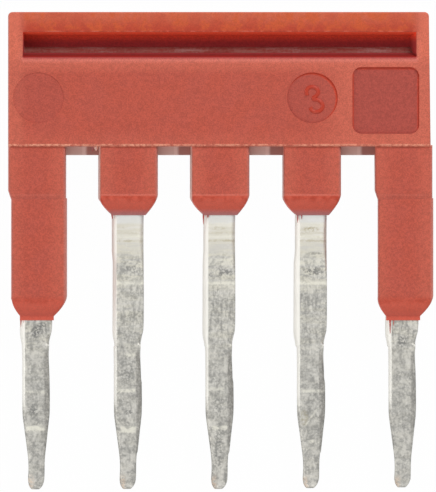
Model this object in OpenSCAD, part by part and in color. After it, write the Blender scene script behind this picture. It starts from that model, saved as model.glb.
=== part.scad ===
// Plug-in jumper bar for rail-mounted terminal blocks. One stamped comb bridges the poles,
// and an insulating body is moulded round its bar and round the top of each of its pins.
// The part lies on its back: X runs along the bar, Y from the pin tips to the top of the bar,
// and Z up through the front face. The origin is on the floor under the middle of the part.

/* [Poles] */
// Number of poles, each with one pin
pole_count = 5; // [3:1:12]
// Distance from one pole to the next
pole_pitch = 5.1; // [5:0.05:6]

/* [Contact comb] */
// Thickness of the sheet that the comb is stamped from
sheet_thickness = 1; // [0.8:0.05:1.2]
// Distance from the top of the body down to the top edge of the comb
comb_cover = 1.95; // [1.6:0.05:2.2]
// How far the comb's bar shows below the body between the sleeves
comb_drop = 0.47; // [0.2:0.01:0.8]
// Width of the coined edge along the top of the comb, which shows in the groove
comb_edge = 0.25; // [0.05:0.01:0.35]
// Radius in the corners between the comb's bar and its pins
root_radius = 0.4; // [0.1:0.05:0.6]
// Length of a pin from the lower edge of the body's bar to its tip
pin_reach = 19.1; // [17:0.1:22]

/* [Pin outline] */
// Width of the shank, where the pin leaves its sleeve
shank_width = 1.8; // [1.7:0.02:1.96]
// Width of the neck, just below the shank
neck_width = 1.48; // [1.4:0.02:1.5]
// Width of the belly, which the mating spring touches
belly_width = 1.54; // [1.5:0.02:1.66]
// Width of the waist above the rounded tip
waist_width = 0.88; // [0.7:0.02:0.9]
// Width of the rounded tip
tip_width = 0.94; // [0.9:0.02:1.2]
// Height of the shoulder's upper end above the tip
shoulder_top = 8.85; // [8.5:0.05:9.1]
// Height of the neck above the tip
neck_height = 8.05; // [7.5:0.05:8.3]
// Height of the belly's middle above the tip
belly_height = 5; // [4.6:0.1:6]
// Height above the tip at which the belly starts to narrow
taper_height = 4.2; // [3.8:0.05:4.5]
// Height of the waist above the tip
waist_height = 1.6; // [1.3:0.05:2]

/* [Pin section] */
// Thickness of the pin at its tip
tip_thickness = 0.46; // [0.3:0.02:0.7]
// Height above the tip at which the faces start to close in
thinning_height = 3.45; // [3:0.05:3.8]
// Distance from the centre line to the coined bevel on the right
right_bevel_start = 0.42; // [0.35:0.01:0.6]
// Slope of the bevel on the right
right_bevel_angle = 38; // [30:1:40]
// Height above the tip at which the bevel on the right ends
right_bevel_height = 7.75; // [7:0.05:8]
// Distance from the centre line to the coined bevel on the left
left_bevel_start = 0.65; // [0.6:0.01:0.7]
// Slope of the bevel on the left
left_bevel_angle = 42; // [30:1:50]

/* [Body bar] */
// Height of the bar
bar_height = 7.5; // [7:0.1:9]
// Thickness of the bar
bar_thickness = 2.8; // [2.6:0.05:3.2]
// Distance from an outer pole to the end of the bar, at its lower edge
end_overhang = 1.59; // [1.5:0.01:1.8]
// How much each end draws in from the lower edge to the top
end_taper = 0.05; // [0:0.01:0.2]
// Radius of the two top corners
corner_radius = 0.24; // [0.1:0.02:0.5]
// Width of the broken edge round the front and the back
edge_break = 0.07; // [0.03:0.01:0.12]
// Lean of the moulded side walls away from the parting plane, in degrees
draft_angle = 1.5; // [0.5:0.1:3]

/* [Pull-out groove] */
// Distance from the top of the bar to the upper edge of the groove
groove_top = 1.14; // [1:0.02:1.3]
// Height of the groove at its mouth
groove_height = 1.39; // [1.2:0.02:1.6]
// Depth of the groove
groove_depth = 1.2; // [1.1:0.01:1.25]
// Distance from the end of the bar to the end of the groove
groove_margin = 0.86; // [0.6:0.02:1.2]
// How far the groove's upper wall leans in towards the floor
groove_upper_lean = 0.2; // [0.05:0.01:0.3]
// How far the groove's lower wall leans in towards the floor
groove_lower_lean = 0.34; // [0.2:0.01:0.42]
// How far each end wall of the groove leans in towards the floor
groove_end_lean = 0.24; // [0.05:0.01:0.4]
// How far the lip above the groove slopes back at the groove
lip_slope = 0.1; // [0.02:0.01:0.2]
// Width of the flat left along the top of the lip
lip_flat = 0.12; // [0.05:0.01:0.3]
// Width of the rounded lead-in below the groove
lead_in_width = 0.34; // [0.1:0.02:0.5]
// Depth of the rounded lead-in below the groove
lead_in_depth = 0.12; // [0.05:0.01:0.2]

/* [Sleeves] */
// Width of the short sleeves
sleeve_width = 3.36; // [3.2:0.02:3.6]
// How far a short sleeve's middle lies to the right of its pin
sleeve_offset = -0.02; // [-0.1:0.01:0.1]
// How far the sleeves' front lies behind the front of the bar
sleeve_step = 0.14; // [0.05:0.01:0.25]
// Length of the short sleeves on the inner pins
short_length = 3.82; // [3.4:0.02:5]
// Length of the long sleeves on the two outer pins
long_length = 9.45; // [8:0.05:9.8]
// Width of the long sleeves below their upper block
long_width = 3.12; // [3:0.02:3.2]
// How far a long sleeve's middle lies to the right of its pin
long_offset = 0.14; // [0:0.01:0.2]
// How far a long sleeve's front lies behind the front of its upper block
long_step = 0.12; // [0.05:0.01:0.25]
// Width of the upper block on a long sleeve
block_width = 3.24; // [3.2:0.02:3.6]
// How far the upper block's middle lies to the right of its pin
block_offset = 0.03; // [0:0.01:0.1]
// Length of the upper block on a long sleeve
block_length = 2.95; // [2.4:0.05:3.2]
// Height of the slope at the end of the upper block
block_slope = 0.22; // [0.1:0.01:0.3]
// Radius along a sleeve's long edges
sleeve_edge_radius = 0.16; // [0.05:0.01:0.3]
// Height of the nose that closes in on the pin
nose_height = 1.12; // [0.9:0.02:1.3]
// How far the wall runs straight on before the nose turns in
nose_shoulder = 0.2; // [0.1:0.01:0.6]
// Wall left round the pin at the end of the nose
nose_wall = 0.05; // [0.03:0.01:0.1]
// Length of the thin collar below a long sleeve
collar_length = 0.22; // [0.1:0.01:0.4]

/* [Face recesses] */
// Diameter of the two round recesses
disc_diameter = 2.8; // [2:0.05:3]
// Depth of the plain round recess
plain_disc_depth = 0.03; // [0.02:0.01:0.1]
// Depth of the round recess that holds the cavity number
number_disc_depth = 0.08; // [0.04:0.01:0.2]
// Distance from the top of the bar to the middle of the round recesses
disc_drop = 4.8; // [4.3:0.02:5]
// Distance from the left end of the bar to the middle of the plain disc
plain_disc_inset = 1.72; // [1.6:0.02:2]
// Distance from the right end of the bar to the middle of the number's disc
number_disc_inset = 6.64; // [6.2:0.02:7]
// Side of the square recess
square_side = 3.68; // [3:0.02:3.8]
// Corner radius of the square recess
square_corner = 0.5; // [0.2:0.05:0.8]
// Depth of the square recess
square_depth = 0.12; // [0.05:0.01:0.2]
// Distance from the right end of the bar to the middle of the square recess
square_inset = 2.56; // [2.4:0.01:2.8]
// Distance from the top of the bar to the middle of the square recess
square_drop = 4.95; // [4.8:0.01:5.1]

/* [Hidden] */

// Number of straight pieces in each moulded curve
curve_steps = 6;
// Overlap that joins shapes and carries cuts past a surface
past = 0.5;

// Heights along Y
overall_length = bar_height + pin_reach;
top_y = overall_length / 2;
bar_low_y = top_y - bar_height;
tip_y = bar_low_y - pin_reach;
comb_top_y = top_y - comb_cover;
comb_low_y = bar_low_y - comb_drop;
tube_top_y = bar_low_y - block_length + edge_break;

// Levels along Z
parting_z = bar_thickness / 2;
comb_front_z = parting_z + sheet_thickness / 2;
comb_back_z = parting_z - sheet_thickness / 2;
sleeve_front_z = bar_thickness - sleeve_step;
long_front_z = sleeve_front_z - long_step;

// Places along X. The widest reach past the outer poles differs from left to right,
// and the poles are shifted so that the origin stays in the middle.
pole_span = (pole_count - 1) * pole_pitch;
left_reach = max(end_overhang, block_width / 2 - block_offset, long_width / 2 - long_offset);
right_reach = max(end_overhang, block_width / 2 + block_offset, long_width / 2 + long_offset);
middle_x = (left_reach - right_reach) / 2;
bar_half = pole_span / 2 + end_overhang;
bar_left_x = middle_x - bar_half;
bar_right_x = middle_x + bar_half;
draft = tan(draft_angle);

function pole_x(i) = middle_x + i * pole_pitch - pole_span / 2;
function is_outer(i) = i == 0 || i == pole_count - 1;

// Points of a curve from one point to another, drawn towards a control point
function curve(from, towards, to) = [
    for (k = [0:curve_steps])
        let (t = k / curve_steps)
            (1 - t) * (1 - t) * from + 2 * t * (1 - t) * towards + t * t * to
];

// Points of an arc round a centre
function arc(centre, radius, first, last) = [
    for (k = [0:curve_steps])
        let (a = first + (last - first) * k / curve_steps)
            centre + radius * [cos(a), sin(a)]
];

function mirrored_x(points) = [
    for (k = [len(points) - 1:-1:0]) [-points[k].x, points[k].y]
];

// An outline in Y and Z, drawn out along X from one place to another
module along_x(from, to) {
    translate([from, 0, 0])
        rotate([90, 0, 90])
            linear_extrude(to - from)
                children();
}

// An outline in X and Z, drawn out along Y from one place to another
module along_y(from, to) {
    translate([0, to, 0])
        rotate([90, 0, 0])
            linear_extrude(to - from)
                children();
}

// Right-hand outline of a pin, from its root down to the waist
function pin_side() = [
    [shank_width / 2, comb_low_y + past],
    [shank_width / 2, tip_y + shoulder_top],
    [neck_width / 2, tip_y + neck_height],
    [belly_width / 2, tip_y + belly_height],
    [belly_width / 2, tip_y + taper_height],
    [waist_width / 2, tip_y + waist_height],
    [tip_width / 2, tip_y + tip_width / 2]
];

module pin_blank() {
    linear_extrude(bar_thickness)
        polygon(concat(pin_side(), mirrored_x(pin_side())));
    translate([0, tip_y + tip_width / 2, 0])
        cylinder(h = bar_thickness, d = tip_width, $fn = 48);
}

// Corner between the comb's bar and a pin, rounded by the punch
module root_fillet() {
    translate([shank_width / 2, comb_low_y - root_radius, 0])
        difference() {
            translate([-past, 0, 0])
                cube([past + root_radius, root_radius + past, bar_thickness]);
            translate([root_radius, 0, -past])
                cylinder(h = bar_thickness + 2 * past, r = root_radius, $fn = 48);
        }
}

// The two faces of the sheet, which close in on each other towards the tips,
// with the coined edge along the top
module sheet_section() {
    half_tip = tip_thickness / 2;
    along_x(bar_left_x - past, bar_right_x + past)
        polygon(concat(
            [
                [comb_top_y - comb_edge, comb_back_z],
                [comb_top_y, comb_back_z + comb_edge],
                [comb_top_y, comb_front_z - comb_edge],
                [comb_top_y - comb_edge, comb_front_z],
                [tip_y + thinning_height, comb_front_z]
            ],
            arc([tip_y + half_tip, parting_z], half_tip, 90, 270),
            [[tip_y + thinning_height, comb_back_z]]
        ));
}

// Waste that the coining punch takes off one long edge of a pin, front and back
module bevel_waste(start, angle, low, high) {
    wide = shank_width / 2 - start + past;
    deep = wide * tan(angle);
    intersection() {
        along_y(low, high + wide)
            for (side = [-1, 1])
                translate([start, parting_z + side * sheet_thickness / 2])
                    polygon([
                        [0, 0],
                        [wide, -side * deep],
                        [wide, side * past]
                    ]);
        linear_extrude(2 * bar_thickness, center = true)
            polygon([
                [start, low],
                [start, high],
                [start + wide, high + wide],
                [start + wide, low]
            ]);
    }
}

module pin_bevels() {
    bevel_waste(right_bevel_start, right_bevel_angle, tip_y - past, tip_y + right_bevel_height);
    mirror([1, 0, 0])
        bevel_waste(left_bevel_start, left_bevel_angle, tip_y - past, comb_low_y - root_radius);
}

module comb_solid() {
    difference() {
        intersection() {
            union() {
                translate([pole_x(0) - shank_width / 2, comb_low_y, 0])
                    cube([pole_span + shank_width, comb_top_y - comb_low_y, bar_thickness]);
                for (i = [0:pole_count - 1])
                    translate([pole_x(i), 0, 0]) {
                        pin_blank();
                        if (i < pole_count - 1) root_fillet();
                        if (i > 0) mirror([1, 0, 0]) root_fillet();
                    }
            }
            sheet_section();
        }
        for (i = [0:pole_count - 1])
            translate([pole_x(i), 0, 0]) pin_bevels();
    }
}

// Waste beyond an end wall of the bar. The wall leans in both ways from the parting plane
// and draws in towards the top of the bar.
module end_waste() {
    lean_in = atan(end_taper / bar_height);
    translate([bar_half, bar_low_y, parting_z])
        rotate([0, 0, lean_in])
            for (up = [0, 1])
                mirror([0, 0, up])
                    rotate([0, -draft_angle, 0])
                        translate([0, -past - short_length, 0])
                            cube([bar_thickness, bar_height + short_length + 2 * past, bar_thickness]);
}

// Front outline of the bar, with its rounded top corners
module bar_outline() {
    half_top = bar_half - end_taper;
    round_side = concat(
        [[bar_half, bar_low_y]],
        arc([half_top - corner_radius, top_y - corner_radius], corner_radius, 0, 90)
    );
    polygon(concat(round_side, mirrored_x(round_side)));
}

// Side view of the bar, with its broken edges
module bar_side() {
    top_in = draft * parting_z;
    polygon([
        [bar_low_y + edge_break, 0],
        [bar_low_y, edge_break],
        [bar_low_y, bar_thickness - edge_break],
        [bar_low_y + edge_break, bar_thickness],
        [top_y - top_in - edge_break, bar_thickness],
        [top_y - top_in, bar_thickness - edge_break],
        [top_y, parting_z],
        [top_y - top_in, edge_break],
        [top_y - top_in - edge_break, 0]
    ]);
}

module bar_solid() {
    translate([middle_x, 0, 0])
        difference() {
            intersection() {
                linear_extrude(bar_thickness) bar_outline();
                along_x(-bar_half - past, bar_half + past) bar_side();
            }
            end_waste();
            mirror([1, 0, 0]) end_waste();
        }
}

// Front outline of a sleeve, from inside the bar down to the end of its nose
function sleeve_side(width, offset, low, end_half) = concat(
    [[offset + width / 2, bar_low_y + past]],
    curve(
        [offset + width / 2, low + nose_height],
        [offset + width / 2, low + nose_height - nose_shoulder],
        [end_half, low]
    )
);

// Side view of a sleeve's front half, down to the end of its nose
function sleeve_front(front_z, low) = concat(
    [[bar_low_y + past, front_z]],
    curve(
        [low + nose_height, front_z],
        [low + nose_height - nose_shoulder, front_z],
        [low, comb_front_z + nose_wall]
    )
);

// Side view of a sleeve's back half, from the end of its nose up
function sleeve_back(low) = concat(
    curve(
        [low, comb_back_z - nose_wall],
        [low + nose_height - nose_shoulder, 0],
        [low + nose_height, 0]
    ),
    [[bar_low_y + past, 0]]
);

// Section of a sleeve across the pin, widest at the parting plane
module sleeve_section(width, front_z) {
    front_half = width / 2 - draft * (front_z - parting_z);
    back_half = width / 2 - draft * parting_z;
    r = sleeve_edge_radius;
    right_side = concat(
        arc([back_half - edge_break, edge_break], edge_break, -90, 0),
        [[width / 2, parting_z]],
        arc([front_half - r, front_z - r], r, 0, 90)
    );
    polygon(concat(right_side, mirrored_x(right_side)));
}

// A sleeve round a pin that stands at X = 0, from its top edge down to the end of its nose
module sleeve(width, offset, front_z, length, high) {
    low = bar_low_y - length;
    end_half = shank_width / 2 + nose_wall;
    intersection() {
        linear_extrude(bar_thickness)
            polygon(concat(
                sleeve_side(width, offset, low, end_half),
                mirrored_x(sleeve_side(width, -offset, low, end_half))
            ));
        along_x(-width, width)
            polygon(concat(sleeve_front(front_z, low), sleeve_back(low)));
        along_y(low, high)
            translate([offset, 0]) sleeve_section(width, front_z);
    }
}

// Upper block of a long sleeve, which slopes back to the narrower tube below it
module long_block() {
    low = bar_low_y - block_length;
    intersection() {
        along_y(low, bar_low_y + edge_break)
            translate([block_offset, 0]) sleeve_section(block_width, sleeve_front_z);
        along_x(-block_width, block_width)
            polygon([
                [low, 0],
                [bar_low_y + past, 0],
                [bar_low_y + past, sleeve_front_z],
                [low + block_slope, sleeve_front_z],
                [low, long_front_z]
            ]);
    }
}

// Thin collar of plastic that runs on down the pin below a long sleeve
module collar() {
    low = bar_low_y - long_length - collar_length;
    half = shank_width / 2 + nose_wall;
    translate([-half, low, comb_back_z - nose_wall])
        cube([2 * half, collar_length + nose_height / 2, sheet_thickness + 2 * nose_wall]);
}

// Groove for a screwdriver's blade. The lip above it slopes back, and the edge below it
// is rounded off. It is the same on the back, mirrored in the parting plane.
module groove_waste() {
    mouth_high = top_y - groove_top;
    mouth_low = mouth_high - groove_height;
    floor_z = bar_thickness - groove_depth;
    half = bar_half - groove_margin;
    clear_z = bar_thickness + past;
    intersection() {
        along_x(-half, half)
            polygon(concat(
                [
                    [top_y - lip_flat, clear_z],
                    [top_y - lip_flat, bar_thickness],
                    [mouth_high, bar_thickness - lip_slope],
                    [mouth_high - groove_upper_lean, floor_z],
                    [mouth_low + groove_lower_lean, floor_z]
                ],
                curve(
                    [mouth_low, bar_thickness - lead_in_depth],
                    [mouth_low - lead_in_width / 4, bar_thickness],
                    [mouth_low - lead_in_width, bar_thickness]
                ),
                [[mouth_low - lead_in_width, clear_z]]
            ));
        along_y(mouth_low - lead_in_width - past, top_y)
            polygon([
                [-half + groove_end_lean, floor_z],
                [half - groove_end_lean, floor_z],
                [half, bar_thickness],
                [half, clear_z],
                [-half, clear_z],
                [-half, bar_thickness]
            ]);
    }
}

module disc_waste(x, depth) {
    translate([x, top_y - disc_drop, bar_thickness - depth])
        cylinder(h = depth + past, d = disc_diameter, $fn = 96);
}

module square_waste() {
    inner = square_side - 2 * square_corner;
    translate([bar_right_x - square_inset, top_y - square_drop, bar_thickness - square_depth]) {
        translate([-square_side / 2, -inner / 2, 0])
            cube([square_side, inner, square_depth + past]);
        translate([-inner / 2, -square_side / 2, 0])
            cube([inner, square_side, square_depth + past]);
        for (x = [-inner / 2, inner / 2], y = [-inner / 2, inner / 2])
            translate([x, y, 0])
                cylinder(h = square_depth + past, r = square_corner, $fn = 48);
    }
}

module contact_comb() {
    color("silver") comb_solid();
}

module insulating_body() {
    color("indianred")
        difference() {
            union() {
                bar_solid();
                for (i = [0:pole_count - 1])
                    translate([pole_x(i), 0, 0])
                        if (is_outer(i)) {
                            sleeve(long_width, long_offset, long_front_z, long_length, tube_top_y);
                            long_block();
                            collar();
                        } else {
                            sleeve(sleeve_width, sleeve_offset, sleeve_front_z, short_length,
                                bar_low_y + past);
                        }
            }
            comb_solid();
            translate([middle_x, 0, 0]) {
                groove_waste();
                translate([0, 0, parting_z])
                    mirror([0, 0, 1])
                        translate([0, 0, -parting_z])
                            groove_waste();
            }
            disc_waste(bar_left_x + plain_disc_inset, plain_disc_depth);
            disc_waste(bar_right_x - number_disc_inset, number_disc_depth);
            square_waste();
        }
}

contact_comb();
insulating_body();
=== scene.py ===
"""Terminal block jumper bar: a tinned comb in a red moulded body, on a plain white stage."""

import math

import bmesh
import bpy
from bpy.props import FloatProperty, FloatVectorProperty, IntProperty, PointerProperty
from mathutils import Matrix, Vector


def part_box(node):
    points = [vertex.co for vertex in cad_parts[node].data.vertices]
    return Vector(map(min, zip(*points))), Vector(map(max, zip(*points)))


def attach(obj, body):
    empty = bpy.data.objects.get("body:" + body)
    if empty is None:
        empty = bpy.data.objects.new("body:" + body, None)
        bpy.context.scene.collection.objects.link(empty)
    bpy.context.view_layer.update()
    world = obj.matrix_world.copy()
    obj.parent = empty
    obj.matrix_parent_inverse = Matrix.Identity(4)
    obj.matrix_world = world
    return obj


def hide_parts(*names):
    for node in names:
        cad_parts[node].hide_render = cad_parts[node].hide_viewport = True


bl_info = {
    "name": "Terminal Block Jumper Bar",
    "version": (1, 0, 0),
    "blender": (4, 5, 0),
    "location": "3D View > Sidebar > Jumper Bar",
    "description": "Models a jumper bar: a tinned comb with its pins in a red moulded body",
    "category": "Add Mesh",
}

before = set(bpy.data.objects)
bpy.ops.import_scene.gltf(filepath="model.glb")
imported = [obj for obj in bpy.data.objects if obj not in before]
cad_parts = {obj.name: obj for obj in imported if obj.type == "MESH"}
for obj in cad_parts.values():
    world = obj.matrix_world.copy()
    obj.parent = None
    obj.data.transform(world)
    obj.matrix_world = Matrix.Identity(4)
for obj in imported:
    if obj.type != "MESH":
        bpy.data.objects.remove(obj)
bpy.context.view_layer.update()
BODY_LOW, BODY_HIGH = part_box("insulating_body")
COMB_LOW, COMB_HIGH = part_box("contact_comb")

MM = 0.001
# Light lines across the pins, in millimetres: height on the part, half height, from and to
# along the bar, and strength
# The line at 0.78 lies on the ridge across the pins and is a painted highlight
TRANSVERSE_LINES = (
    (-0.62, 0.2, -1.2, 6.2, 0.5),
    (0.78, 0.07, -6.2, 6.2, 0.9), (1.45, 0.12, -1.2, 6.2, 0.6), (-1.8, 0.08, -6.2, 6.2, 0.85),
    (-5.81, 0.08, -5.3, -4.7, 0.7), (-7.85, 0.07, -11.0, -9.7, 0.55), (-7.78, 0.09, -5.8, -4.7, 0.8),
    (-7.7, 0.1, -0.6, 0.2, 0.45), (-7.82, 0.08, 4.55, 5.9, 0.6), (-9.88, 0.13, -10.8, -9.8, 0.9),
    (-9.95, 0.18, -5.6, -4.7, 0.8), (-9.86, 0.11, -0.5, 0.4, 0.8), (-10.62, 0.09, 4.9, 5.5, 0.7),
)
# Marks on the pins: place, half width and half height in millimetres, strength and tint
HANDLING_MARKS = (
    (-10.25, -4.5, 0.36, 0.4, 1.0, "tin_dark"),
    (-9.95, -4.15, 0.25, 0.2, 1.0, "tin_dark"),
    (10.08, -5.05, 0.28, 0.34, 0.85, "tin_dark"),
    (-10.4, -8.9, 0.25, 0.4, 0.7, "tin_dark"),
    (-5.1, -9.0, 0.2, 0.2, 0.8, "tin_dark"),
    (-0.1, -10.9, 0.3, 1.5, 0.5, "tin_dark"),
    (-0.15, -8.7, 0.45, 0.6, 0.4, "tin_dark"),
    (-5.2, -6.6, 0.45, 0.9, 0.35, "tin_dark"),
    (4.65, -9.3, 0.25, 0.5, 0.45, "tin_bronze"),
    (0.15, -1.2, 0.55, 0.2, 0.65, "tin_dark"),
    (5.2, -1.15, 0.6, 0.24, 0.75, "tin_dark"),
    (5.2, -0.15, 0.5, 0.1, 0.55, "tin_dark"),
    (-4.95, -1.05, 0.45, 0.35, 0.5, "tin_dark"),
    (5.0, 1.2, 0.5, 0.15, 1.0, "tin_bronze"),
    (-0.1, 1.25, 0.4, 0.11, 0.5, "tin_bronze"),
    (-5.6, 1.3, 0.3, 0.1, 0.25, "tin_bronze"),
)
# A scratch on the fourth pin: its direction across, and how far it lies from the origin
SCRATCH_TURN, SCRATCH_RUN = (0.802, 0.598), 9.586
# Two places closer than this are the same place
NEAR = 0.002 * MM
# How much each pin differs from the first, in millimetres: wider on the left of its shank,
# wider on the right of its belly, and shorter at its tip
PIN_DIFFERENCES = (
    (0.0, 0.0, 0.0), (-0.06, 0.03, 0.02), (0.03, 0.04, 0.02), (0.06, 0.04, 0.07), (0.05, 0.0, 0.11),
)
# How far the left wall of each sleeve leans in towards the front, in millimetres
SLEEVE_LEANS = (0.04, 0.07, 0.07, 0.05, 0.0)
# How much narrower each sleeve is on its left, in millimetres
SLEEVE_TRIMS = (0.0, 0.03, 0.04, 0.09, 0.02)
PARTING = (BODY_LOW.z + BODY_HIGH.z) / 2
TIP_Y = COMB_LOW.y
TOP_Y = BODY_HIGH.y


# Sizes and colours that the user sets


def length(name, description, millimetres):
    """A size that the user sets, with its default given in millimetres."""
    return FloatProperty(
        name=name,
        description=description,
        default=millimetres * MM,
        precision=5,
        unit="LENGTH",
    )


def colour(name, description, default):
    """A colour that the user sets."""
    return FloatVectorProperty(
        name=name,
        description=description,
        default=default,
        min=0.0,
        max=1.0,
        size=3,
        subtype="COLOR",
    )


class JUMPER_PG_pins(bpy.types.PropertyGroup):
    """Sizes of the comb and its pins."""

    count: IntProperty(name="Pins", description="Number of pins", default=5, min=2)
    pitch: length("Pitch", "Distance from one pin to the next", 5.1)
    shank: length("Shank width", "Width where the pin leaves its sleeve", 1.8)
    neck: length("Neck width", "Width just below the shoulder", 1.48)
    belly: length("Belly width", "Width that the mating spring touches", 1.54)
    waist: length("Waist width", "Width just above the rounded tip", 0.88)
    tip: length("Tip width", "Width of the rounded tip", 0.94)
    tip_thickness: length("Tip thickness", "Thickness of the sheet at the tip", 0.46)
    left_bevel: length("Left bevel start", "From the middle to the narrow bevel", 0.65)
    right_bevel: length("Right bevel start", "From the middle to the wide bevel", 0.42)
    edge: length("Coined edge", "Chamfer along the top of the comb", 0.25)
    drop: length("Bar drop", "How far the comb shows below the moulded bar", 0.47)


class JUMPER_PG_body(bpy.types.PropertyGroup):
    """Sizes of the moulded bar, its groove and the recesses in its face."""

    overhang: length("Overhang", "From an outer pin to the end of the bar", 1.59)
    height: length("Bar height", "Height of the bar", 7.5)
    end_taper: length("End taper", "How much each end draws in towards the top", 0.05)
    corner: length("Corner radius", "Radius of the two top corners", 0.24)
    edge: length("Edge break", "Rounding round the front and the back", 0.07)
    draft: length("Draft", "How far a wall leans in from the parting plane", 0.037)
    groove_top: length("Groove drop", "From the top of the bar to the groove", 1.14)
    groove_height: length("Groove height", "Height of the groove at its mouth", 1.39)
    groove_depth: length("Groove depth", "Depth of the groove", 1.2)
    groove_margin: length("Groove margin", "From the end of the bar to the groove", 0.86)
    upper_lean: length("Upper lean", "Lean of the groove's upper wall", 0.2)
    lower_lean: length("Lower lean", "Lean of the groove's lower wall", 0.34)
    left_lean: length("Left lean", "Lean of the groove's left end wall", 0.06)
    right_lean: length("Right lean", "Lean of the groove's right end wall", 0.28)
    right_short: length("Right end", "How much shorter the bar is on the right", 0.035)
    run_out: length("Run-out", "How far the lip and the lead-in run out at the ends", 0.4)
    lip_slope: length("Lip slope", "How far the lip slopes back at the groove", 0.1)
    lip_flat: length("Lip flat", "Flat left along the top of the lip", 0.12)
    lead_in: length("Lead-in", "Width of the rounded lead-in below the groove", 0.34)
    lead_in_depth: length("Lead-in depth", "Depth of the lead-in at the groove", 0.12)
    disc: length("Disc diameter", "Diameter of the round recesses", 2.8)
    disc_drop: length("Disc drop", "From the top of the bar to the discs' middle", 4.8)
    plain_depth: length("Plain disc depth", "Depth of the plain disc", 0.03)
    plain_inset: length("Plain disc inset", "From the left end to the plain disc", 1.72)
    number_depth: length("Number disc depth", "Depth of the disc with the number", 0.08)
    number_inset: length("Number disc inset", "From the right end to that disc", 6.64)
    number_stroke: length("Stroke", "Width of the number's strokes", 0.25)
    square: length("Square side", "Side of the square recess", 3.68)
    square_corner: length("Square corner", "Corner radius of the square recess", 0.5)
    square_depth: length("Square depth", "Depth of the square recess", 0.12)
    square_drop: length("Square drop", "From the top of the bar to its middle", 4.95)
    square_inset: length("Square inset", "From the right end to its middle", 2.56)


class JUMPER_PG_sleeves(bpy.types.PropertyGroup):
    """Sizes of the sleeves on the pins."""

    width: length("Width", "Width of a short sleeve", 3.36)
    offset: length("Offset", "How far a short sleeve lies to the right of its pin", -0.02)
    step: length("Step", "How far the sleeves lie behind the bar's front", 0.14)
    short: length("Short length", "Length of the short sleeves", 3.82)
    long: length("Long length", "Length of the two outer sleeves", 9.45)
    long_width: length("Long width", "Width of an outer sleeve below its block", 3.12)
    long_offset: length("Long offset", "How far an outer sleeve lies to the right", 0.14)
    long_step: length("Long step", "How far it lies behind its upper block", 0.12)
    block: length("Block length", "Length of the upper block", 2.95)
    block_width: length("Block width", "Width of the upper block", 3.24)
    block_offset: length("Block offset", "How far the block lies to the right", 0.03)
    block_slope: length("Block slope", "Height of the slope at the block's end", 0.22)
    block_run_out: length("Block run-out", "Height over which the block narrows to the tube", 0.5)
    edge: length("Long edges", "Radius along a sleeve's front edges", 0.16)
    nose: length("Nose", "Height of the nose that closes in on the pin", 1.12)
    shoulder: length("Nose shoulder", "How late a short sleeve's nose turns in", 0.44)
    long_shoulder: length("Long shoulder", "How late an outer sleeve's nose turns in", 0.5)
    nose_lean: length("Nose lean", "How far the noses hang over to the left", 0.07)
    wall: length("Nose wall", "Plastic round the pin at the end of the nose", 0.05)
    collar: length("Collar", "Length of the thin collar on the outer pins", 0.22)


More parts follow.
